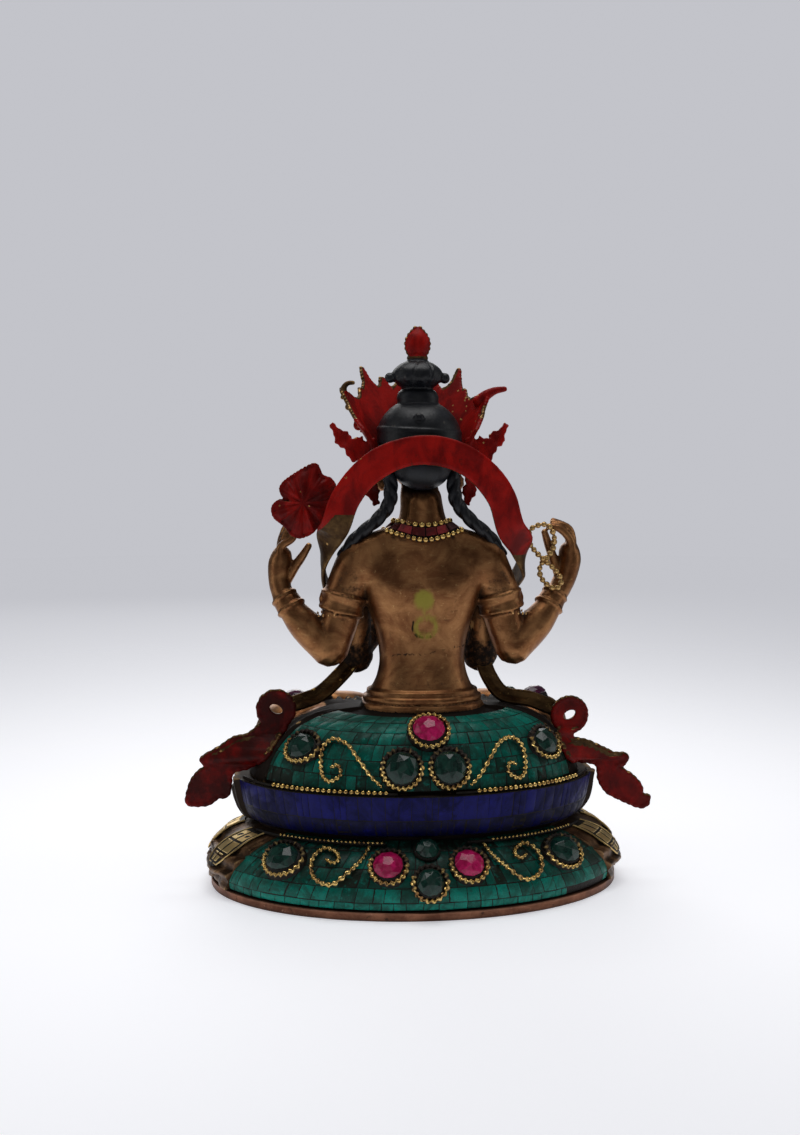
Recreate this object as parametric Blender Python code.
"""A seated four-armed Avalokiteshvara on a double lotus pedestal, for Blender 4.5. Metres, +Z up.

It is a small cast copper-alloy figure. The crown, the scarf and the lotus are painted red on their backs.
The back of the pedestal and of the skirt is covered with stone chips, set stones and twisted wire.
The figure faces -Y, and the origin is the middle of the underside of the base plate.
"""

import math

import bpy
from mathutils import Vector
from mathutils.bvhtree import BVHTree
from mathutils.geometry import tessellate_polygon

# Clearances
GAP = 0.0003  # between two pieces that touch
CAST_GAP = 0.0005  # between a piece and the cast figure, whose facets are uneven

# Pedestal
PEDESTAL_WIDTH = 0.150
PEDESTAL_DEPTH = 0.104
PLATE_THICKNESS = 0.003
LOWER_TIER_HEIGHT = 0.0205
UPPER_TIER_HEIGHT = 0.0165
WAIST_INSET = 0.0165
WAIST_GROOVE = 0.0008
RIM_INSET = 0.009
PETAL_COUNT = 11
PETAL_RELIEF = 0.0024
LOWER_MOSAIC_HALF_ANGLE = math.radians(70)  # of the back, in the oval's own angle
UPPER_MOSAIC_HALF_ANGLE = math.radians(80)
TILE_THICKNESS = 0.0011

# Figure, in design units of a 162 unit height above the seat
FIGURE_HEIGHT = 0.162
DESIGN_HEIGHT = 162.0
SKIRT_SIDE_MARGIN = 0.005  # of the pedestal's rim left bare beside the skirt
SKIRT_BACK_MARGIN = 0.003
SKIRT_MOSAIC_HALF_ANGLE = math.radians(64)

# Set stones and wire
ROUND_STONE_DIAMETER = 0.0114
SMALL_STONE_DIAMETER = 0.0104
TOP_STONE_DIAMETER = 0.0083
BOTTOM_STONE_DIAMETER = 0.0094
UPPER_DROP_WIDTH = 0.0100
LOWER_DROP_WIDTH = 0.0108
STONE_HEIGHT = 0.0042
KNEE_STONE_DIAMETER = 0.0088
THIGH_STONE_DIAMETER = 0.0066
KNEE_STONE_HEIGHT = 0.0034
BEZEL_WIRE_DIAMETER = 0.0018
SCROLL_WIRE_DIAMETER = 0.0015
BEAD_DIAMETER = 0.0018
STONE_SIDES = 8
PROBE_HEIGHT = 0.010  # over a stone's seat, from where its carrier is looked for
PROBE_REACH = 0.016

# Loose castings
SCARF_WIDTH = 0.0106
SCARF_THICKNESS = 0.0018
TAIL_THICKNESS = 0.0022
LOTUS_THICKNESS = 0.0022
CROWN_THICKNESS = 0.0017
ROSARY_BEAD_DIAMETER = 0.0023
NECKLACE_THICKNESS = 0.0013

# Mesh fineness
CAST_VOXEL = 0.0009
FIGURE_KEEP = 0.0175  # share of the voxel mesh's faces that the solid keeps

UNIT = FIGURE_HEIGHT / DESIGN_HEIGHT
LOWER_TIER_Z = PLATE_THICKNESS + GAP
WAIST_Z = LOWER_TIER_Z + LOWER_TIER_HEIGHT
RIM_Z = WAIST_Z + UPPER_TIER_HEIGHT
SEAT_Z = RIM_Z + GAP
RIM_HALF_WIDTH = PEDESTAL_WIDTH / 2 - RIM_INSET
SKIRT_HALF_WIDTH = RIM_HALF_WIDTH - SKIRT_SIDE_MARGIN
SKIRT_HALF_DEPTH = PEDESTAL_DEPTH / 2 - RIM_INSET - SKIRT_BACK_MARGIN

COPPER = ("copper", (0.42, 0.20, 0.11), 0.38, 1.0)
BRONZE = ("bronze", (0.45, 0.27, 0.10), 0.36, 1.0)
RED_PAINT = ("red_paint", (0.42, 0.015, 0.012), 0.5, 0.0)
TURQUOISE = ("turquoise", (0.012, 0.14, 0.10), 0.4, 0.0)
LAPIS = ("lapis", (0.012, 0.018, 0.19), 0.4, 0.0)
CORAL = ("coral", (0.28, 0.03, 0.03), 0.45, 0.0)
RUBY = ("ruby_stone", (0.50, 0.02, 0.09), 0.15, 0.0)
EMERALD = ("emerald_stone", (0.01, 0.09, 0.06), 0.15, 0.0)
AMETHYST = ("amethyst_stone", (0.13, 0.02, 0.08), 0.2, 0.0)
BRASS = ("brass_wire", (0.62, 0.42, 0.12), 0.3, 1.0)


def clear_scene():
    for obj in list(bpy.data.objects):
        bpy.data.objects.remove(obj)


def material(look):
    name, colour, roughness, metallic = look
    found = bpy.data.materials.get(name)
    if found:
        return found
    made = bpy.data.materials.new(name)
    made.use_nodes = True
    shader = made.node_tree.nodes["Principled BSDF"]
    shader.inputs["Base Color"].default_value = (*colour, 1.0)
    shader.inputs["Roughness"].default_value = roughness
    shader.inputs["Metallic"].default_value = metallic
    return made


class Shape:
    """Points and faces that a sub-part is gathered in."""

    def __init__(self):
        self.points = []
        self.faces = []

    def add(self, points, faces):
        """Adds a closed skin, turned so that its faces point outwards."""
        points = [Vector(p) for p in points]
        fans = ((face[0], a, b) for face in faces for a, b in zip(face[1:], face[2:]))
        volume = sum(points[i].dot(points[j].cross(points[k])) for i, j, k in fans)
        first = len(self.points)
        self.points += points
        step = 1 if volume > 0 else -1
        self.faces += [[first + i for i in face[::step]] for face in faces]

    def rings(self, rings, closed=False):
        """Skins rings of equally many points. An open run of rings gets a cap at each end."""
        count, sides = len(rings), len(rings[0])
        faces = []
        for i in range(count if closed else count - 1):
            low, high = i * sides, (i + 1) % count * sides
            for j in range(sides):
                k = (j + 1) % sides
                faces.append([low + j, low + k, high + k, high + j])
        if not closed:
            faces.append(list(range(sides))[::-1])
            faces.append([(count - 1) * sides + j for j in range(sides)])
        self.add([p for ring in rings for p in ring], faces)

    def build(self, name, look, smooth_angle=None):
        mesh = bpy.data.meshes.new(name)
        mesh.from_pydata(self.points, [], self.faces)
        obj = bpy.data.objects.new(name, mesh)
        bpy.context.scene.collection.objects.link(obj)
        mesh.materials.append(material(look))
        if smooth_angle is not None:
            mesh.shade_smooth()
            mesh.set_sharp_from_angle(angle=math.radians(smooth_angle))
        return obj


def curve_at(points, t):
    """A point at share t of a Catmull-Rom curve through the points, each point an equal share apart."""
    spans = len(points) - 1
    place = min(max(t, 0.0), 1.0) * spans
    i = min(int(place), spans - 1)
    s = place - i
    a, b, c, d = (Vector(points[min(max(i + k, 0), spans)]) for k in (-1, 0, 1, 2))
    square, cube = 2 * a - 5 * b + 4 * c - d, 3 * b - a - 3 * c + d
    return (2 * b + (c - a) * s + square * s**2 + cube * s**3) / 2


def curve(points, steps):
    return [curve_at(points, i / steps) for i in range(steps + 1)]


def span(low, high, steps):
    return [low + (high - low) * i / steps for i in range(steps + 1)]


def frames(path, facing, closed=False):
    """(across, out) unit vectors along a path: out leans towards facing, and across is square to both."""
    found = []
    last = len(path) - 1
    for i in range(len(path)):
        before = path[i - 1] if closed or i else path[0]
        after = path[(i + 1) % len(path)] if closed else path[min(i + 1, last)]
        along = (after - before).normalized()
        lean = facing[i] if isinstance(facing, list) else facing
        out = (lean - along * lean.dot(along)).normalized()
        found.append((along.cross(out), out))
    return found


def tube(path, radii, sides, facing, closed=False, flat=1.0):
    """Rings of a round or flattened tube. flat is its size towards facing as a share of its size across."""
    turns = span(0, 2 * math.pi, sides)[:-1]
    return [
        [p + r * (a * math.cos(turn) + o * flat * math.sin(turn)) for turn in turns]
        for p, r, (a, o) in zip(path, radii, frames(path, facing, closed))
    ]


def strap(path, widths, thickness, facing):
    """Rings of a flat strap whose broad face looks towards facing."""
    rings = []
    for p, width, (across, out) in zip(path, widths, frames(path, facing)):
        side, lift = across * width / 2, out * thickness / 2
        rings.append([p - side - lift, p + side - lift, p + side + lift, p - side + lift])
    return rings


def carrier_of(*objects):
    """A ray-cast tree of the objects as they are evaluated, for seating other pieces on them."""
    bpy.context.view_layer.update()
    graph = bpy.context.evaluated_depsgraph_get()
    points, faces = [], []
    for obj in objects:
        evaluated = obj.evaluated_get(graph)
        mesh = evaluated.to_mesh()
        first = len(points)
        points += [evaluated.matrix_world @ v.co for v in mesh.vertices]
        faces += [[first + i for i in p.vertices] for p in mesh.polygons]
        evaluated.to_mesh_clear()
    return BVHTree.FromPolygons(points, faces)


# Pedestal

LOWER_SHAPE = [
    (0.06, 0.0), (0.0, 0.17), (0.03, 0.36), (0.16, 0.55), (0.42, 0.76), (0.72, 0.91), (1.0, 1.0),
]
UPPER_SHAPE = [(0.0, 0.0), (0.42, 0.08), (0.70, 0.30), (0.88, 0.65), (1.0, 1.0)]
LOWER_STEPS = 6
UPPER_STEPS = 5
BACK_STEPS = 12
COLUMNS_PER_PETAL = 5
BEAD_STEPS = 10


def lower_tier(t):
    """(inset from the plate's edge, height) of the lower lotus, from its foot to the waist."""
    x, y = curve_at(LOWER_SHAPE, t)
    return x * WAIST_INSET, LOWER_TIER_Z + y * LOWER_TIER_HEIGHT


def upper_tier(t):
    """(inset, height) of the upper lotus, from the waist to the rim."""
    x, y = curve_at(UPPER_SHAPE, t)
    foot = WAIST_Z + WAIST_GROOVE
    return WAIST_INSET + x * (RIM_INSET - WAIST_INSET), foot + y * (RIM_Z - foot)


def plan(theta, inset, z):
    """A point of the pedestal's oval. theta is 0 at the back and a quarter turn at the figure's left."""
    across, deep = PEDESTAL_WIDTH / 2 - inset, PEDESTAL_DEPTH / 2 - inset
    return Vector((across * math.sin(theta), deep * math.cos(theta), z))


def tier_point(tier, theta, t, out):
    """A point of a tier, moved out along the profile's normal."""
    step = 0.01
    low, high = tier(max(t - step, 0)), tier(min(t + step, 1))
    rise, recede = high[1] - low[1], high[0] - low[0]
    length = math.hypot(rise, recede)
    inset, z = tier(t)
    return plan(theta, inset - out * rise / length, z + out * recede / length)


def arc_angles(low, high, steps):
    """Angles that cut the oval between low and high into steps of equal length."""
    fine = span(low, high, 720)
    reach = [0.0]
    for a, b in zip(fine, fine[1:]):
        reach.append(reach[-1] + (plan(b, 0, 0) - plan(a, 0, 0)).length)
    angles, i = [], 0
    for wanted in span(0, reach[-1], steps):
        while i < len(reach) - 2 and reach[i + 1] < wanted:
            i += 1
        share = (wanted - reach[i]) / (reach[i + 1] - reach[i])
        angles.append(fine[i] + share * (fine[i + 1] - fine[i]))
    return angles


def petal(u, v):
    """Relief of one petal, 0 to 1. u is -1 to 1 across it, and v is 0 at its root and 1 at its tip."""
    if v < 0.6:
        width = 0.88 + 0.12 * math.sin(math.pi * v / 0.6)
    else:
        width = (1 - ((v - 0.6) / 0.42) ** 2) ** 0.6
    inside = max(0.0, 1 - abs(u / width) ** 2.6)
    return math.sqrt(inside) * math.sin(math.pi / 2 * min(v / 0.8, 1))


def pedestal_columns(half_angle):
    """(theta, place across a petal) for each column. The recessed back comes first and has no place."""
    step = 0.4 * half_angle / BACK_STEPS
    back = span(-half_angle + step, half_angle - step, BACK_STEPS)
    front = arc_angles(half_angle, 2 * math.pi - half_angle, PETAL_COUNT * COLUMNS_PER_PETAL)
    places = [2 * (i % COLUMNS_PER_PETAL) / COLUMNS_PER_PETAL - 1 for i in range(len(front))]
    return [(theta, None) for theta in back] + list(zip(front, places))


def build_pedestal():
    rows = []
    for tier, steps, half_angle in (
        (lower_tier, LOWER_STEPS, LOWER_MOSAIC_HALF_ANGLE),
        (upper_tier, UPPER_STEPS, UPPER_MOSAIC_HALF_ANGLE),
    ):
        columns = pedestal_columns(half_angle)
        for t in span(0, 1, steps):
            row = []
            for theta, place in columns:
                if place is None:
                    out = -(TILE_THICKNESS + GAP)
                else:
                    out = PETAL_RELIEF * petal(place, 0.96 * (t if tier is upper_tier else 1 - t))
                row.append(tier_point(tier, theta, t, out))
            rows.append(row)
    rim = [plan(theta, RIM_INSET + 2 * TILE_THICKNESS, RIM_Z) for theta, _ in columns]
    for row, level in ((rows[0], LOWER_TIER_Z), (rows[-1], RIM_Z)):
        for p in row:
            p.z = level
    shape = Shape()
    shape.rings(rows + [rim])
    return shape.build("lotus_pedestal", BRONZE, 35)


def build_base_plate():
    shape = Shape()
    bevel = PLATE_THICKNESS / 6
    thetas = arc_angles(0, 2 * math.pi, 48)[:-1]
    levels = ((bevel, 0), (0, bevel), (0, PLATE_THICKNESS))
    shape.rings([[plan(theta, inset, z) for theta in thetas] for inset, z in levels])
    return shape.build("base_plate", COPPER, 35)


def panel(name, look, point, thetas, shares, thickness):
    """A curved slab of stone chips. point(theta, t, out) gives its outer face at out 0."""
    shape = Shape()
    columns = []
    for theta in thetas:
        outer = [point(theta, t, 0) for t in shares]
        inner = [point(theta, t, -thickness) for t in shares]
        columns.append(outer + inner[::-1])
    shape.rings(columns)
    return shape.build(name, look, 35)


def build_pedestal_mosaics():
    made = []
    for name, look, tier, steps, half_angle in (
        ("lower_turquoise_mosaic", TURQUOISE, lower_tier, LOWER_STEPS, LOWER_MOSAIC_HALF_ANGLE),
        ("lapis_mosaic_band", LAPIS, upper_tier, UPPER_STEPS, UPPER_MOSAIC_HALF_ANGLE),
    ):
        columns = [theta for theta, place in pedestal_columns(half_angle) if place is None]
        shares = span(0, 1, steps)
        shares[0] += 0.05
        shares[-1] -= 0.05

        def point(theta, t, out, tier=tier):
            return tier_point(tier, theta, t, out)

        made.append(panel(name, look, point, columns, shares, TILE_THICKNESS))
    return made


def build_bead_rows():
    """Rows of brass beads over and under the lapis band. Each is lost in the middle of the back."""
    radius = BEAD_DIAMETER / 2
    up = Vector((0, 0, 1))
    rim_inset = RIM_INSET + TILE_THICKNESS + GAP + radius * 0.3

    def rim(theta):
        return plan(theta, rim_inset, RIM_Z + radius + GAP)

    def waist(theta):
        return tier_point(lower_tier, theta, 0.86, radius + 2 * GAP)

    for word, point, low, high in (
        ("rim", rim, math.radians(9), UPPER_MOSAIC_HALF_ANGLE),
        ("waist", waist, math.radians(13), LOWER_MOSAIC_HALF_ANGLE),
    ):
        for side, hand in ((1, "left"), (-1, "right")):
            path = [point(side * theta) for theta in span(low, high * 0.96, BEAD_STEPS)]
            shape = Shape()
            shape.rings(tube(path, [radius] * len(path), 3, up))
            shape.build(f"{hand}_{word}_bead_row", BRASS, 60)


# Cast figure. Its points are in design units: x to the figure's left, y to its back, z up from the seat.

# (height, share of the seat's half width, share of its half depth)
SKIRT_SHAPE = [
    (0, 1.0, 1.0), (5, 0.967, 0.975), (10, 0.910, 0.920), (15, 0.836, 0.845), (19, 0.754, 0.765),
    (22, 0.648, 0.680), (24, 0.525, 0.590),
]
SKIRT = [(z, SKIRT_HALF_WIDTH / UNIT * a, SKIRT_HALF_DEPTH / UNIT * b) for z, a, b in SKIRT_SHAPE]
SKIRT_TOP = 25.0
# (height, x of the casting's axis)
LEAN = [(0, 0), (9, -0.3), (25, -2.4), (95, -2.6), (119, -1.8), (140, -0.8), (162, -0.9)]
# (height, half width, half depth, y of the middle)
TORSO = [
    (20, 21.0, 15.0, 4.0),
    (29, 19.6, 14.0, 3.8),
    (36, 16.6, 12.2, 3.5),
    (43, 15.6, 11.6, 3.0),
    (52, 17.0, 12.2, 2.5),
    (61, 20.0, 13.4, 2.5),
    (69, 22.4, 14.2, 2.8),
    (76, 23.6, 13.4, 3.0),
    (82, 21.5, 11.5, 3.2),
    (87, 15.5, 9.4, 3.0),
    (91, 9.8, 8.4, 2.5),
    (95, 8.0, 8.0, 1.5),
    (106, 8.0, 8.2, 0.5),
]
# (height, half width) of the belt's three ridges
BELT = [
    (24.4, 21.0), (24.6, 22.4), (26.2, 22.4), (26.8, 21.0), (27.4, 21.8), (28.8, 21.8), (29.6, 20.2),
    (31.0, 20.4), (31.6, 19.0),
]
HEAD_CENTRE = (0.0, -2.0, 119.0)
HAIR_CENTRE = (0.0, 1.0, 122.0)
HAIR_RADII = (15.4, 16.0, 14.2)
# (height, half width) of the topknot
TOPKNOT = [
    (132, 8.6), (134.5, 7.5), (136.5, 7.6), (138.5, 6.9), (139.8, 5.6), (141.5, 7.6), (144.0, 9.2),
    (146.5, 8.6), (148.6, 6.2), (149.8, 3.8), (150.8, 3.8),
]
# (x, y, z, radius) of the lock of hair over a shoulder
HAIR_STRAND = [
    (11.6, 3.5, 112, 2.8),
    (12.2, 5.0, 104, 2.7),
    (13.2, 6.0, 97.5, 2.6),
    (18.6, 6.8, 92.8, 2.5),
    (25.0, 5.8, 87.0, 2.3),
    (29.5, 3.6, 80, 1.8),
]


def lean(z):
    """How far the casting's axis lies to its left at a height, as it was set a little askew."""
    for (low, a), (high, b) in zip(LEAN, LEAN[1:]):
        if z <= high:
            return a + (b - a) * max(0.0, z - low) / (high - low)
    return LEAN[-1][1]


def at(x, y, z, leaning=True):
    """A point given in the figure's design units."""
    return Vector(((x + (lean(z) if leaning else 0)) * UNIT, y * UNIT, SEAT_Z + z * UNIT))


def oval(z, half_x, half_y, centre_y=0.0, sides=24, centre_x=0.0):
    turns = span(0, 2 * math.pi, sides)[:-1]
    return [at(centre_x + half_x * math.cos(t), centre_y + half_y * math.sin(t), z) for t in turns]


def ball(shape, centre, radii, sides=16):
    """An ellipsoid in design units."""
    x, y, z = centre
    rings = []
    for tilt in span(-0.48 * math.pi, 0.48 * math.pi, sides // 2):
        level = math.cos(tilt)
        rings.append(oval(z + radii[2] * math.sin(tilt), radii[0] * level, radii[1] * level, y, sides, x))
    shape.rings(rings)


LIMB_END = ((0.5, 0.8), (0.8, 0.4))  # (lift past the end, size) of its rounding, as shares of the radius


def limb(shape, points, flat=1.0, facing=(0, 1, 0), steps=3, sides=10):
    """A rounded limb through (x, y, z, radius) points, in design units."""
    fine = curve(points, steps * (len(points) - 1))
    path = [at(*p[:3]) for p in fine]
    radii = [p[3] * UNIT for p in fine]
    ends = []
    for end, inner in ((0, 1), (-1, -2)):
        outward = (path[end] - path[inner]).normalized()
        tip, radius = path[end], radii[end]
        ends.append([(tip + outward * radius * lift, radius * size) for lift, size in LIMB_END])
    path = [p for p, _ in ends[0][::-1]] + path + [p for p, _ in ends[1]]
    radii = [r for _, r in ends[0][::-1]] + radii + [r for _, r in ends[1]]
    shape.rings(tube(path, radii, sides, Vector(facing), flat=flat))


def skirt_point(theta, t, out):
    """A point of the skirt's dome over the seat, in metres. theta is 0 at the back."""
    z, across, deep = curve_at(SKIRT, t)
    slope = curve_at(SKIRT, min(t + 0.01, 1)) - curve_at(SKIRT, max(t - 0.01, 0))
    recede, rise = -slope[1], slope[0]
    length = math.hypot(recede, rise)
    out = out / UNIT
    across, deep = across + out * rise / length, deep + out * rise / length
    return at(across * math.sin(theta), deep * math.cos(theta), z + out * recede / length)


def add_skirt(shape):
    """The skirt spread over the seat, sunk where the stone chips lie."""
    rings = []
    thetas = span(0, 2 * math.pi, 60)[:-1]
    for t in span(0, 1, 14):
        ring = []
        for theta in thetas:
            back = abs((theta + math.pi) % (2 * math.pi) - math.pi)
            sunk = back < SKIRT_MOSAIC_HALF_ANGLE + 0.04
            ring.append(skirt_point(theta, t, -(TILE_THICKNESS + CAST_GAP) if sunk else 0.0))
        rings.append(ring)
    rings.append([at(18 * math.sin(theta), 16 * math.cos(theta), SKIRT_TOP) for theta in thetas])
    shape.rings(rings)


def add_legs(shape):
    for side in (1, -1):
        limb(shape, [(side * 14, -4, 12, 12.5), (side * 31, -11, 12.5, 12), (side * 46, -17, 11.5, 11)])
        ball(shape, (side * 47, -16, 12), (12.5, 13, 12.2))
    limb(shape, [(-47, -20, 10, 9), (-26, -31, 9.5, 8), (-4, -37, 11, 6.6), (12, -34, 15, 5.4)])
    limb(shape, [(47, -20, 10, 9), (26, -29, 9.0, 8), (4, -32, 9, 6.6), (-10, -30, 14, 5.4)])
    for side in (1, -1):
        sole = [(side * 12, -33, 17, 4.6), (side * 21, -30, 20.5, 5.2), (side * 31, -25, 22.5, 4.2)]
        limb(shape, sole, flat=0.6, facing=(0, 0.3, 1))
    for fold in span(-16, 16, 6):
        limb(shape, [(fold * 0.55, -30, 4, 3.4), (fold * 0.8, -37, 3, 3.2), (fold * 1.1, -41, 1.8, 2.6)])


def add_torso(shape):
    fine = curve(TORSO, 3 * (len(TORSO) - 1))
    shape.rings([oval(z, half_x, half_y, y) for z, half_x, half_y, y in fine])
    shape.rings([oval(z, half, half * 0.715, 3.9) for z, half in BELT])
    for side in (1, -1):
        ball(shape, (side * 9.5, -6.0, 70.5), (9.5, 6.2, 7.0))
        limb(shape, [(side * 6, 8, 87, 5), (side * 16, 5, 84.5, 5), (side * 24, 3, 79, 7.5)])


def add_arms(shape):
    for side in (1, -1):
        limb(shape, [
            (side * 22, 2, 79, 8.6), (side * 26.8, 2, 70, 8.0), (side * 29, 2, 60, 7.1),
            (side * 33.4, 3, 45, 6.4),
        ])
        limb(shape, [
            (side * 33.4, 3, 45, 6.5), (side * 42, 2, 53.5, 6.1), (side * 47.5, 0, 60, 4.8),
            (side * 50.8, -2, 65, 4.0),
        ])
        for z, swell in ((60.2, 0.9), (57.0, 0.5)):
            x = 29 + (60 - z) * 0.32
            limb(shape, [
                (side * x, 2, z + 0.8, 7.1 + swell), (side * (x + 0.2), 2, z - 0.8, 7.1 + swell),
            ], steps=1, sides=14)
        ball(shape, (side * 36.3, 2, 62), (2.2, 3.2, 3.4), sides=10)
        limb(shape, [(side * 48.6, -1.2, 62.0, 4.9), (side * 50.0, -1.7, 64.4, 4.9)], steps=1, sides=14)
        limb(shape, [
            (side * 20, -3, 77, 7.4), (side * 23.5, -6, 62, 6.2), (side * 23.5, -10, 43.5, 5.8),
        ])
        limb(shape, [
            (side * 23.5, -10, 43.5, 5.8), (side * 16, -19, 50, 5.2), (side * 7, -25.5, 58, 3.7),
        ])
        limb(shape, [
            (side * 5.5, -26, 59, 3.6), (side * 2.6, -27.5, 64, 3.2), (side * 1.9, -28.5, 70, 2.6),
            (side * 1.4, -29, 77, 1.4),
        ])
        limb(shape, [(side * 3.2, -23.5, 64, 1.7), (side * 1.8, -25.0, 69.5, 1.3)], sides=8)
    for z in (44.5, 41.0):
        for side in (1, -1):
            limb(shape, [
                (side * 23.5, -10.4, z + 0.6, 6.6), (side * 23.5, -10.8, z - 0.6, 6.6),
            ], steps=1, sides=12)


def add_left_hand(shape):
    """The raised left hand, whose fingers hold the lotus."""
    limb(shape, [
        (50.6, -2.5, 65, 3.9), (51.8, -4, 70, 4.0), (51.6, -4.5, 76, 4.3), (50.8, -4.6, 79.5, 3.8),
    ], flat=1.15)
    for i, (x, z, tip) in enumerate(((46.0, 87.5, -1.5), (47.5, 90, 0), (48.5, 90.5, 0), (49.2, 88.5, 0))):
        y = -1.6 - 2.3 * i
        limb(shape, [
            (51.4, y, 77.5, 1.7), (51.2, y, 82.5, 1.55), (x + 1.4, y, z - 2.2, 1.4), (x, y, z, 1.15),
        ], sides=8)
    limb(shape, [
        (49.2, -3.4, 70.5, 2.1), (46.2, -3.2, 75.2, 1.8), (43.4, -2.8, 79.2, 1.55),
        (41.0, -2.6, 83.0, 1.2),
    ], sides=8)


def add_right_hand(shape):
    """The raised right hand, whose thumb and first finger pinch the rosary."""
    limb(shape, [
        (-51.4, -2.5, 65, 4.0), (-54.4, -4, 70.5, 4.1), (-56.0, -4.6, 76.5, 4.3),
        (-56.0, -4.8, 80.5, 3.8),
    ], flat=1.15)
    limb(shape, [
        (-56.4, -2.0, 79, 1.8), (-55.6, -1.9, 84.5, 1.6), (-52.0, -2.0, 88.4, 1.4),
        (-47.6, -2.2, 89.6, 1.2),
    ], sides=8)
    for i, (x, z) in enumerate(((-49.4, 92.0), (-50.0, 92.6), (-50.8, 91.4))):
        y = -4.4 - 2.3 * i
        limb(shape, [
            (-56.6, y, 79, 1.8), (-57.0, y, 84.0, 1.6), (-55.2, y, 88.8, 1.5), (x, y, z - 1.2, 1.15),
        ], sides=8)
    limb(shape, [
        (-52.2, -3.4, 71.5, 2.1), (-49.8, -3.2, 77.5, 1.8), (-47.6, -2.8, 83.0, 1.5),
        (-46.0, -2.2, 87.6, 1.2),
    ], sides=8)


def add_head(shape):
    ball(shape, HEAD_CENTRE, (12.6, 14.2, 16.6), sides=20)
    ball(shape, (0, -8.5, 108.5), (8.2, 7.0, 6.8), sides=16)
    limb(shape, [(0, -15.6, 119, 1.5), (0, -16.8, 114.5, 1.9), (0, -16.2, 112.4, 2.0)])
    limb(shape, [(-3, -14.4, 107.3, 1.2), (0, -15.6, 107.0, 1.5), (3, -14.4, 107.3, 1.2)])
    for side in (1, -1):
        limb(shape, [
            (side * 13.0, -1.0, 121, 2.1), (side * 13.4, 0.0, 115, 2.0),
            (side * 12.6, -0.5, 108.0, 2.0),
        ], flat=0.8)
        ball(shape, (side * 13.8, -3.6, 106.5), (2.6, 3.2, 3.6), sides=12)


def add_hair(shape):
    ball(shape, HAIR_CENTRE, HAIR_RADII, sides=24)
    ball(shape, (0, 5.5, 112), (10.6, 10.0, 8.8), sides=20)
    for z, swell in ((126.5, 0.5), (129.5, 0.25)):
        level = math.sqrt(1 - ((z - HAIR_CENTRE[2]) / HAIR_RADII[2]) ** 2)
        rings = []
        for dz, share in ((-1.2, -0.6), (-0.5, swell), (0.5, swell), (1.2, -0.6)):
            rings.append(oval(z + dz, HAIR_RADII[0] * level + share, HAIR_RADII[1] * level + share, 1.0))
        shape.rings(rings)
    ball(shape, (0, 15.4, 131.4), (1.4, 1.4, 1.4), sides=8)
    fine = curve(TOPKNOT, 2 * (len(TOPKNOT) - 1))
    shape.rings([oval(z, half, half * 0.92, 1.5) for z, half in fine])
    for side in (1, -1):
        ball(shape, (side * 10.2, 1.5, 143.6), (2.0, 2.0, 2.0), sides=10)
        limb(shape, [(side * px, py, pz, r) for px, py, pz, r in HAIR_STRAND])


def add_scarf_falls(shape):
    """The scarf's ends, which hang from the front elbows to the knees and over the chest."""
    left = [(24.5, -7, 40), (29, -5.5, 35), (36.5, -3.0, 28.5), (43.5, -0.8, 26.0), (49.5, 0.6, 24.5)]
    right = [(-23.5, -7, 41), (-26.5, -6, 33), (-31.5, -3.5, 26.8), (-41.0, -1.2, 25.2), (-51.0, 0.2, 21.5)]
    for path in (left, right):
        fine = [at(*p) for p in curve(path, 10)]
        shape.rings(strap(fine, [6.2 * UNIT] * len(fine), 2.3 * UNIT, Vector((0, 1, 0.5))))
    for side in (1, -1):
        front = [(27.5, -8.0, 61), (25.0, -11.6, 55), (22.5, -14.0, 49), (23.5, -12, 42)]
        fine = [at(side * x, y, z) for x, y, z in curve(front, 10)]
        shape.rings(strap(fine, [6.2 * UNIT] * len(fine), 2.2 * UNIT, Vector((0, -1, 0.2))))


def box_cutter(name, low, high):
    shape = Shape()
    x, y, z = low
    a, b, c = high
    shape.rings([[(x, y, k), (a, y, k), (a, b, k), (x, b, k)] for k in (z, c)])
    cutter = shape.build(name, BRONZE)
    cutter.hide_render = True
    cutter.display_type = "WIRE"
    return cutter


def fuse(obj, voxel, keep, smoothing):
    """Makes overlapping shapes one cast surface, softens their joints and thins out its faces."""
    remesh = obj.modifiers.new("cast", "REMESH")
    remesh.mode = "VOXEL"
    remesh.voxel_size = voxel
    if smoothing:
        soften = obj.modifiers.new("soften", "SMOOTH")
        soften.factor = 0.5
        soften.iterations = smoothing
    thin = obj.modifiers.new("thin", "DECIMATE")
    thin.ratio = keep


def build_figure():
    shape = Shape()
    add_skirt(shape)
    add_legs(shape)
    add_torso(shape)
    add_arms(shape)
    add_left_hand(shape)
    add_right_hand(shape)
    add_head(shape)
    add_hair(shape)
    add_scarf_falls(shape)
    figure = shape.build("figure", BRONZE, 40)
    fuse(figure, CAST_VOXEL, FIGURE_KEEP, 2)
    reach = PEDESTAL_WIDTH
    foot = SEAT_Z + 0.4 * UNIT
    cutter = box_cutter("under_figure", (-reach, -reach, -reach), (reach, reach, foot))
    level = figure.modifiers.new("flat underside", "BOOLEAN")
    level.operation = "DIFFERENCE"
    level.object = cutter
    return figure


def build_skirt_mosaic():
    thetas = span(-SKIRT_MOSAIC_HALF_ANGLE, SKIRT_MOSAIC_HALF_ANGLE, 12)
    shares = span(0.05, 0.96, 5)
    return panel("upper_turquoise_mosaic", TURQUOISE, skirt_point, thetas, shares, TILE_THICKNESS)


# Crown, of five leaves that flare from a band, with fluttering ribbons at its ends

CROWN_FOOT = 117.5
CROWN_RISE = 4.0  # how much higher the foot is over the brow
# (degrees to a side, height)
CROWN_EDGE = [(0, 30), (19, 21), (38, 29.0), (57, 17), (76, 22), (90, 13), (104, 8)]
CROWN_COLUMN = 19 / 3


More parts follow.
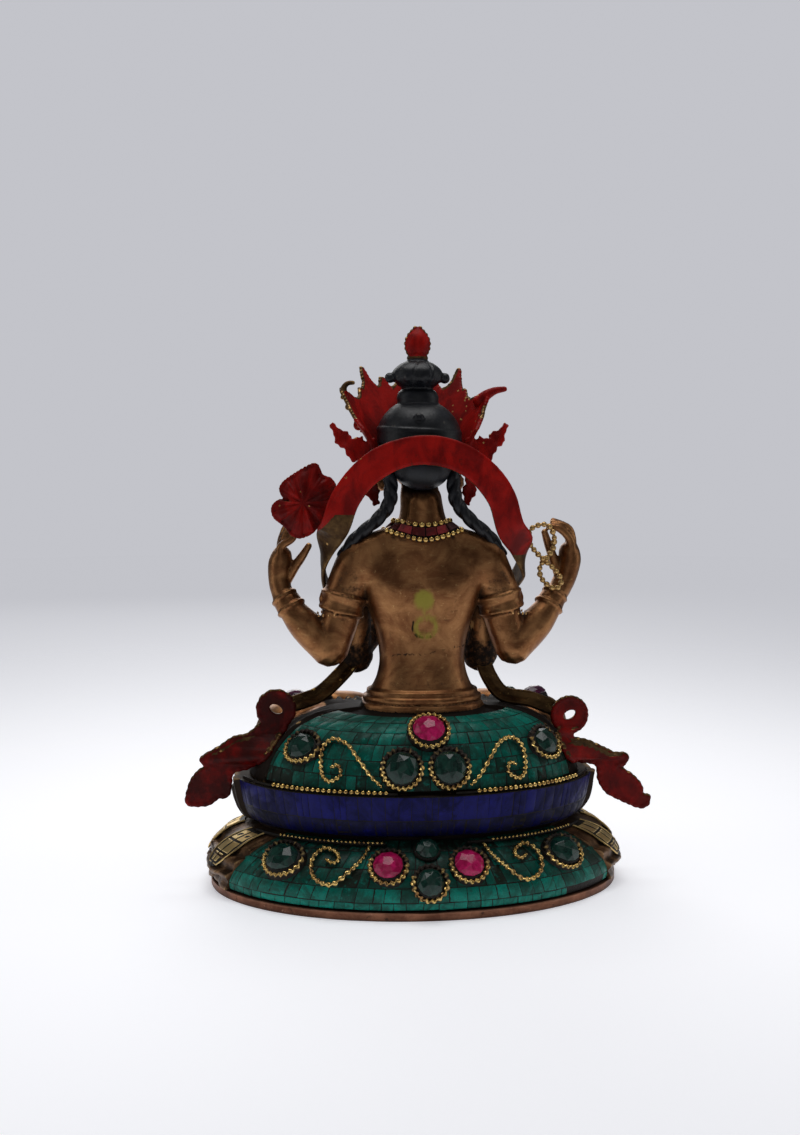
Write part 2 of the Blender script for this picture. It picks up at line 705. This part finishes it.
def crown_point(degrees, height, out):
    turn = math.radians(degrees)
    flare = 1.3 + 0.33 * max(0.0, height - 2) ** 1.08 * (1 + 0.3 * (degrees / 76) ** 2) + out
    x = (HAIR_RADII[0] + flare) * math.sin(turn)
    y = 1.0 - (HAIR_RADII[1] + flare) * math.cos(turn)
    return at(x, y, CROWN_FOOT + CROWN_RISE * max(0.0, math.cos(turn)) + height)


def crown_height(degrees):
    """Height of the crown's edge, which rises steeply to the tip of each leaf."""
    for (low, a), (high, b) in zip(CROWN_EDGE, CROWN_EDGE[1:]):
        share = (abs(degrees) - low) / (high - low)
        if share <= 1:
            return a + (b - a) * share**0.8 if b < a else b + (a - b) * (1 - share) ** 0.8
    return CROWN_EDGE[-1][1]


CROWN_RIBBONS = (
    [
        (15.4, 3.6, 119, 6.0), (20.5, 4.4, 117.5, 8.6), (25.5, 3.8, 119.5, 6.8), (29.0, 3.2, 123, 4.4),
        (31.8, 2.8, 127.0, 1.6),
    ],
    [(18.6, 3.0, 120, 4.0), (18.8, 2.2, 111, 5.4), (17.8, 0.9, 103, 4.6), (16.4, 0.2, 98, 2.4)],
)


def union(obj, other):
    other.hide_render = True
    other.display_type = "WIRE"
    join = obj.modifiers.new("join " + other.name, "BOOLEAN")
    join.operation = "UNION"
    join.object = other


def build_crown():
    shape = Shape()
    thickness = CROWN_THICKNESS / UNIT
    reach = CROWN_EDGE[-1][0]
    columns = []
    for degrees in span(-reach, reach, round(2 * reach / CROWN_COLUMN)):
        top = crown_height(degrees)
        shares = span(0, 1, 3)
        outer = [crown_point(degrees, top * share, thickness) for share in shares]
        inner = [crown_point(degrees, top * share, 0) for share in shares]
        columns.append(outer + inner[::-1])
    shape.rings(columns)
    crown = shape.build("crown", RED_PAINT, 40)
    for side in (1, -1):
        for number, points in enumerate(CROWN_RIBBONS):
            fine = curve([(side * x, y, z, w) for x, y, z, w in points], 6)
            widths = [p[3] * UNIT * (1 + 0.2 * math.sin(3.1 * i)) for i, p in enumerate(fine)]
            ribbon = Shape()
            rings = strap([at(*p[:3]) for p in fine], widths, CROWN_THICKNESS, Vector((0, 1, 0.1)))
            ribbon.rings(rings)
            union(crown, ribbon.build(f"crown ribbon {number} {side}", RED_PAINT))
    return crown


# (height, half width)
JEWEL = [(151.3, 3.1), (152.4, 3.6), (154.0, 4.4), (156.4, 4.6), (158.6, 3.7), (160.6, 1.9), (162.0, 0.4)]


def build_topknot_jewel():
    shape = Shape()
    shape.rings([oval(z, half, half * 0.8, 1.5, 10) for z, half in JEWEL])
    return shape.build("topknot_jewel", RED_PAINT, 50)


# Scarf, tails, lotus and rosary

SCARF_SHIFT = -0.0016
SCARF_CENTRE = (0.0, 13.5, 84.0)
SCARF_REACH = (31.9, 6.6, 33.8)


def build_scarf():
    """The stiff scarf that arches behind the head and turns forward to the fronts of the upper arms."""
    left = [(32.5, -10.0, 65.5), (34.4, -6.0, 70.5), (35.0, -0.5, 77), (34.4, 6.5, 84.5)]
    arch = []
    for turn in (12, 30, 50, 70, 90, 110, 130, 150, 170):
        swing = (math.cos(math.radians(turn)), math.sin(math.radians(turn)), math.sin(math.radians(turn)))
        arch.append(tuple(c + r * s for c, r, s in zip(SCARF_CENTRE, SCARF_REACH, swing)))
    right = [(-36.4, 9.5, 83.5), (-38.2, 2.5, 77), (-37.8, -4.5, 72), (-35.8, -9.5, 67.5)]
    points = left + arch + right
    fine = curve(points, 24)
    path = [at(*p, leaning=False) + Vector((SCARF_SHIFT, 0, 0)) for p in fine]
    axis = at(0, 0, 84)
    facing = []
    for p in path:
        away = Vector((p.x, 0, max(0.0, p.z - axis.z) * 0.4)).normalized()
        back = min(1.0, max(0.0, (p.y / UNIT) / 12.0))
        facing.append((Vector((0, 1, 0)) * back + away * (1 - back)).normalized())
    widths = [SCARF_WIDTH * (1 if 2 < i < len(path) - 3 else 0.8) for i in range(len(path))]
    shape = Shape()
    shape.rings(strap(path, widths, SCARF_THICKNESS, facing))
    return shape.build("arched_scarf", RED_PAINT, 40)


def plate(shape, outline, hole, place, thickness):
    """A flat casting with an outline and maybe a hole. place(x, z, out) gives each point in metres."""
    loops = [outline] + ([hole] if hole else [])
    flat = [Vector((x, z, 0)) for loop in loops for x, z in loop]
    triangles = tessellate_polygon([[Vector((x, z, 0)) for x, z in loop] for loop in loops])
    count = len(flat)
    points = [place(p.x, p.y, 0) for p in flat] + [place(p.x, p.y, thickness) for p in flat]
    faces, edges = [], set()
    for a, b, c in triangles:
        if (flat[b] - flat[a]).cross(flat[c] - flat[a]).z < 0:
            b, c = c, b
        faces += [[a, b, c], [count + c, count + b, count + a]]
        edges |= {(a, b), (b, c), (c, a)}
    for a, b in edges:
        if (b, a) not in edges:
            faces.append([b, a, count + a, count + b])
    shape.add(points, faces)


def ring_points(centre, radius_x, radius_z, low, high, steps, tilt=0.0):
    turned = []
    c, s = math.cos(tilt), math.sin(tilt)
    for angle in span(math.radians(low), math.radians(high), steps):
        x, z = radius_x * math.cos(angle), radius_z * math.sin(angle)
        turned.append((centre[0] + x * c - z * s, centre[1] + x * s + z * c))
    return turned


# (distance out from the pedestal's rim, height over the seat) of each scarf end, in design units
LEFT_LOOP = (-15.1, 24.4)
LEFT_TAIL = [
    (-9.6, 18.8), (-5.0, 15.0), (0.0, 13.9), (4.8, 10.8), (11.4, 6.9), (10.6, 4.9), (8.4, 3.6),
    (12.2, 2.2), (15.4, -1.8), (17.1, -8.0), (16.0, -9.8), (10.1, -9.8), (6.2, -7.4), (2.9, -6.8),
    (1.9, -2.8), (1.0, 1.9), (-4.9, 3.4), (-10.4, 7.2), (-14.4, 12.2), (-18.8, 18.0),
]
RIGHT_LOOP = (-9.1, 20.4)
RIGHT_TAIL = [
    (-7.4, 11.2), (-2.1, 10.0), (3.9, 7.2), (8.0, 5.3), (12.4, 4.8), (11.9, 2.0), (8.8, 0.8),
    (14.2, -2.8), (17.9, -6.9), (18.6, -10.4), (21.0, -11.0), (20.6, -13.8), (17.8, -14.6),
    (12.8, -12.5), (9.2, -10.8), (5.5, -8.6), (2.6, -4.0), (1.4, 1.8), (-6.0, 3.6),
    (-11.4, 6.6), (-14.6, 14.0),
]


TAIL_FRONT = 5.0


def skirt_depth(x, z):
    """How far back the skirt's dome goes at x and z, in design units."""
    for (low, wide, deep), (high, wide_2, deep_2) in zip(SKIRT, SKIRT[1:]):
        if z <= high:
            share = max(0.0, z - low) / (high - low)
            across, back = wide + (wide_2 - wide) * share, deep + (deep_2 - deep) * share
            return back * math.sqrt(max(0.0, 1 - (x / across) ** 2))
    return 0.0


def build_tail(name, loop, tail, side):
    """A scarf end: a loop with an eye, and a leaf-like tail that lies over the pedestal's rim."""
    rim = RIM_HALF_WIDTH / UNIT
    loop = (side * (rim + loop[0]), loop[1])
    tail = [(side * (rim + out), z) for out, z in tail]
    first = math.degrees(math.atan2(tail[-1][1] - loop[1], tail[-1][0] - loop[0]))
    last = math.degrees(math.atan2(tail[0][1] - loop[1], tail[0][0] - loop[0]))
    if side > 0:
        ring = ring_points(loop, 6.4, 6.4, first % 360, last % 360 - 360, 11)
    else:
        ring = ring_points(loop, 6.2, 6.2, first % 360 - 360, last % 360, 11)
    outline = tail + ring[1:-1]
    eye = ring_points(loop, 2.1, 1.1, 0, 360, 8, tilt=0.5 * side)[:-1]

    def place(x, z, out):
        y = max(TAIL_FRONT, skirt_depth(x - lean(z), z) + 1.4)
        return at(x, y, z, leaning=False) + Vector((0, out, 0))

    shape = Shape()
    plate(shape, outline, eye, place, TAIL_THICKNESS)
    return shape.build(name, RED_PAINT, 30)


LOTUS_CENTRE = (43.2, 98.8)
LOTUS_OUTLINE = [
    (38.3, 112.6), (44.5, 109.8), (50.0, 105.8), (50.9, 102.7), (48.8, 99.4), (51.4, 99.6),
    (54.0, 97.4), (53.6, 93.8), (49.6, 90.4), (47.4, 87.4), (44.0, 86.4), (40.0, 88.2), (37.4, 91.0),
    (33.6, 93.0), (31.6, 97.2), (33.0, 100.2), (31.4, 104.6), (33.2, 107.4), (36.0, 108.6),
]


def build_lotus():
    """The lotus above the left hand. Its back is the cupped outside of its petals."""
    cx, cz = LOTUS_CENTRE
    shape = Shape()
    rings = [[], [], [], []]
    for x, z in LOTUS_OUTLINE:
        for ring, share, y in zip(rings, (0.55, 1.0, 1.0, 0.5), (5.0, 2.8, 2.2, 3.0)):
            spread = cx + (x - cx) * share, cz + (z - cz) * share
            ring.append(at(spread[0], y, spread[1]))
    for p in rings[3]:
        p.y -= LOTUS_THICKNESS * 0.4
    for p in rings[2]:
        p.y -= LOTUS_THICKNESS * 0.6
    shape.rings(rings)
    return shape.build("lotus_flower", RED_PAINT, 30)


ROSARY = [
    (45.4, 89.6), (42.4, 90.4), (38.4, 88.6), (37.8, 84.0), (40.6, 80.0), (44.2, 76.6), (47.8, 73.2),
    (49.6, 69.4), (47.6, 66.9), (44.0, 68.6), (41.8, 72.0), (42.2, 75.6), (45.4, 79.0), (47.2, 82.4),
    (47.0, 86.4),
]
ROSARY_BEADS = 22


def build_rosary():
    """A loop of beads that hangs from the right hand and crosses itself once."""
    count = len(ROSARY)
    closed = [ROSARY[i % count] for i in range(-1, count + 2)]
    steps = 2 * ROSARY_BEADS
    shares = [(1 + count * i / steps) / (count + 2) for i in range(steps)]
    radius = ROSARY_BEAD_DIAMETER / 2
    path, radii = [], []
    for i, share in enumerate(shares):
        x, z = curve_at(closed, share)
        turn = 2 * math.pi * i / steps
        y = 1.4 - 1.6 * math.cos(turn) * (1 if z < 84 else 0.2) if z < 86 else 1.1
        path.append(at(-x - 1.9, y, z))
        radii.append(radius * (1 if i % 2 else 0.62))
    shape = Shape()
    shape.rings(tube(path, radii, 4, Vector((0, 1, 0)), closed=True), closed=True)
    return shape.build("rosary", BRONZE, 60)


def build_necklace(name, figure_tree, low_turn, high_turn, steps):
    """A collar of coral between two rows of beads, laid on the shoulders between the locks of hair."""
    focus = at(0, 2.5, 84)
    reach = 26 * UNIT
    columns = []
    for theta in span(math.radians(low_turn), math.radians(high_turn), steps):
        front = max(0.0, -math.cos(theta))
        high = math.radians(40 - 3 * front)
        low = math.radians(5 + 13 * abs(math.sin(theta)) ** 1.5 - 10 * front)
        outer, inner = [], []
        for tilt in span(low, high, 3):
            level = math.cos(tilt)
            out = Vector((math.sin(theta) * level, math.cos(theta) * level, math.sin(tilt)))
            hit = figure_tree.ray_cast(focus + out * reach, -out)[0]
            inner.append(hit + out * 1.8 * CAST_GAP)
            outer.append(hit + out * (1.8 * CAST_GAP + NECKLACE_THICKNESS))
        columns.append(outer + inner[::-1])
    shape = Shape()
    shape.rings(columns)
    return shape.build(name, CORAL, 40)


# Set stones and wire, laid on what is under them

def seat_frame(tree, x, z, radius, from_above=None):
    """(point, outward, across, up) of the seat of a stone or wire, on the carrier's back or on its top."""
    away = Vector((0, 0, 1)) if from_above else Vector((0, 1, 0))
    far = PEDESTAL_WIDTH + FIGURE_HEIGHT
    toward = Vector((0, 1, 0)) if from_above else Vector((0, 0, 1))
    side = toward.cross(away)
    middle = Vector((x, from_above, 0)) if from_above else Vector((x, 0, z))

    def meet(p, q):
        return tree.ray_cast(middle + side * p + toward * q + away * far, -away)[0]

    span_x, span_y = meet(radius, 0) - meet(-radius, 0), meet(0, radius) - meet(0, -radius)
    outward = span_x.cross(span_y).normalized()
    across = toward.cross(outward).normalized()
    return meet(0, 0), outward, across, outward.cross(across)


def seated(tree, frame, p, q, lift):
    """The point at (p, q) in a seat's plane, dropped on the carrier and lifted by lift."""
    origin, outward, across, up = frame
    above = origin + across * p + up * q + outward * PROBE_HEIGHT
    hit = tree.ray_cast(above, -outward, PROBE_REACH)[0]
    base = hit if hit else above - outward * PROBE_HEIGHT
    return base + outward * lift


def sunk(tree, outward, samples):
    """How deep the worst of the sample points lies under the carrier."""
    depths = [0.0]
    for point in samples:
        hit = tree.ray_cast(point + outward * PROBE_HEIGHT, -outward, PROBE_REACH)[0]
        if hit:
            depths.append((hit - point).dot(outward))
    return max(depths)


def halfway(points):
    """The middles of the edges of a closed run of points."""
    return [(a + b) / 2 for a, b in zip(points, points[1:] + points[:1])]


def drop_radius(angle, point_at):
    """Outline of a stone, 1 for a round one and longer on one side for a drop."""
    return 1 + 0.3 * max(0.0, math.cos(angle - point_at)) ** 3 if point_at is not None else 1.0


STONE_LEVELS = ((0.55, 0.88), (1.0, 0.42))  # (share of the height, share of the radius)


def build_stone(name, look, tree, frame, radius, point_at=None, height=STONE_HEIGHT):
    """A cut stone whose base follows what it sits on."""
    origin, outward, across, up = frame
    turns = span(0, 2 * math.pi, STONE_SIDES)[:-1]
    reaches = [radius * drop_radius(turn, point_at) for turn in turns]
    spokes = [(reach * math.cos(turn), reach * math.sin(turn)) for reach, turn in zip(reaches, turns)]
    middle = seated(tree, frame, 0, 0, 0)
    ring = [seated(tree, frame, p, q, 0) for p, q in spokes]
    edges = halfway(ring)
    lift = CAST_GAP + sunk(tree, outward, edges + [(middle + p) / 2 for p in ring + edges])
    points = [p + outward * lift for p in [middle] + ring]
    top = origin + outward * (lift + height)
    for level, share in STONE_LEVELS:
        points += [top + (across * p + up * q) * share - outward * height * (1 - level) for p, q in spokes]
    faces = [[0, 1 + (j + 1) % STONE_SIDES, 1 + j] for j in range(STONE_SIDES)]
    for low in range(1, len(STONE_LEVELS) * STONE_SIDES, STONE_SIDES):
        for j in range(STONE_SIDES):
            k = (j + 1) % STONE_SIDES
            faces.append([low + j, low + k, low + STONE_SIDES + k, low + STONE_SIDES + j])
    faces.append([len(points) - STONE_SIDES + j for j in range(STONE_SIDES)])
    shape = Shape()
    shape.add(points, faces)
    return shape.build(name, look)


BEZEL_STEPS = 11


def build_bezel(name, tree, frame, radius, point_at=None):
    """A ring of twisted wire round a stone."""
    wire = BEZEL_WIRE_DIAMETER / 2
    ring = []
    for turn in span(0, 2 * math.pi, BEZEL_STEPS)[:-1]:
        reach = (radius + GAP + wire) * drop_radius(turn, point_at)
        ring.append(seated(tree, frame, reach * math.cos(turn), reach * math.sin(turn), 0))
    lift = wire + 1.4 * CAST_GAP + sunk(tree, frame[1], halfway(ring))
    path = [p + frame[1] * lift for p in ring]
    shape = Shape()
    shape.rings(tube(path, [wire] * len(path), 4, frame[1], closed=True), closed=True)
    return shape.build(name, BRASS, 60)


SCROLL_UPPER = [
    (0.25, 0.11), (0.31, 0.24), (0.375, 0.44), (0.43, 0.60), (0.505, 0.65), (0.565, 0.54), (0.58, 0.36),
    (0.57, 0.20), (0.53, 0.145), (0.475, 0.23), (0.485, 0.345), (0.525, 0.31),
]
SCROLL_LOWER = [
    (0.29, 0.84), (0.315, 0.73), (0.36, 0.585), (0.43, 0.42), (0.49, 0.43), (0.525, 0.55),
    (0.515, 0.74), (0.465, 0.85), (0.415, 0.82), (0.403, 0.74), (0.43, 0.69), (0.46, 0.73),
]


def build_scroll(name, tree, points, side, half, low, height):
    """A curl of twisted wire, through points that are shares of the half width and height of its field."""
    wire = SCROLL_WIRE_DIAMETER / 2
    path, facing = [], []
    for share_x, share_z in curve(points, 20):
        hit, outward, _, _ = seat_frame(tree, side * share_x * half, low + share_z * height, wire)
        path.append(hit + outward * (wire + CAST_GAP))
        facing.append(outward)
    shape = Shape()
    shape.rings(tube(path, [wire] * len(path), 3, facing))
    return shape.build(name, BRASS, 60)


def set_stones(tree, stones, half, low, height):
    for name, look, share_x, share_z, size, point_at in stones:
        radius = size / 2
        frame = seat_frame(tree, share_x * half, low + share_z * height, radius)
        angle = None if point_at is None else math.radians(point_at)
        build_stone(name, look, tree, frame, radius, angle)
        if name != "lower_top_green_stone":
            build_bezel(name.replace("_stone", "_bezel"), tree, frame, radius, angle)


def build_back_ornament(skirt_tree, pedestal_tree):
    skirt_half, skirt_height = SKIRT[0][1] * UNIT, SKIRT_TOP * UNIT
    big, small = ROUND_STONE_DIAMETER, SMALL_STONE_DIAMETER
    upper = [
        ("upper_ruby_stone", RUBY, lean(21) / SKIRT[0][1], 0.80, big, None),
        ("upper_left_green_stone", EMERALD, 0.134, 0.335, big, None),
        ("upper_right_green_stone", EMERALD, -0.134, 0.335, big, None),
        ("upper_left_drop_stone", EMERALD, 0.69, 0.52, UPPER_DROP_WIDTH, 0),
        ("upper_right_drop_stone", EMERALD, -0.735, 0.52, UPPER_DROP_WIDTH, 180),
    ]
    set_stones(skirt_tree, upper, skirt_half, SEAT_Z, skirt_height)
    half, height = PEDESTAL_WIDTH / 2, LOWER_TIER_HEIGHT
    lower = [
        ("lower_left_ruby_stone", RUBY, 0.183, 0.68, small, None),
        ("lower_right_ruby_stone", RUBY, -0.183, 0.68, small, None),
        ("lower_top_green_stone", EMERALD, 0.0, 0.87, TOP_STONE_DIAMETER, None),
        ("lower_bottom_green_stone", EMERALD, 0.0, 0.46, BOTTOM_STONE_DIAMETER, None),
        ("lower_left_drop_stone", EMERALD, 0.66, 0.69, LOWER_DROP_WIDTH, 0),
        ("lower_right_drop_stone", EMERALD, -0.66, 0.69, LOWER_DROP_WIDTH, 180),
    ]
    set_stones(pedestal_tree, lower, half, LOWER_TIER_Z, height)
    on_skirt = (skirt_half, SEAT_Z, skirt_height)
    on_pedestal = (half, LOWER_TIER_Z, height)
    for side, word in ((1, "left"), (-1, "right")):
        build_scroll(f"upper_{word}_scroll", skirt_tree, SCROLL_UPPER, side, *on_skirt)
        build_scroll(f"lower_{word}_scroll", pedestal_tree, SCROLL_LOWER, side, *on_pedestal)


def build_knee_stones(figure_tree):
    for side, word in ((1, "left"), (-1, "right")):
        for name, x, y, size, look in (
            (f"{word}_knee_stone", 45.6, -16.0, KNEE_STONE_DIAMETER, AMETHYST),
            (f"{word}_thigh_stone", 35.6, -15.5, THIGH_STONE_DIAMETER, EMERALD),
        ):
            middle = at(side * x, y, SKIRT_TOP)
            frame = seat_frame(figure_tree, middle.x, 0, size / 2, from_above=middle.y)
            build_stone(name, look, figure_tree, frame, size / 2, height=KNEE_STONE_HEIGHT)


def main():
    clear_scene()
    build_base_plate()
    pedestal = build_pedestal()
    lower_mosaic, lapis_band = build_pedestal_mosaics()
    figure = build_figure()
    skirt_mosaic = build_skirt_mosaic()
    build_bead_rows()
    build_crown()
    build_topknot_jewel()
    build_scarf()
    build_tail("left_scarf_tail", LEFT_LOOP, LEFT_TAIL, 1)
    build_tail("right_scarf_tail", RIGHT_LOOP, RIGHT_TAIL, -1)
    build_lotus()
    build_rosary()
    figure_tree = carrier_of(figure)
    build_necklace("necklace_back", figure_tree, -62, 62, 9)
    build_necklace("necklace_front", figure_tree, 98, 262, 12)
    build_knee_stones(figure_tree)
    build_back_ornament(carrier_of(skirt_mosaic, figure), carrier_of(lower_mosaic, pedestal, lapis_band))


main()
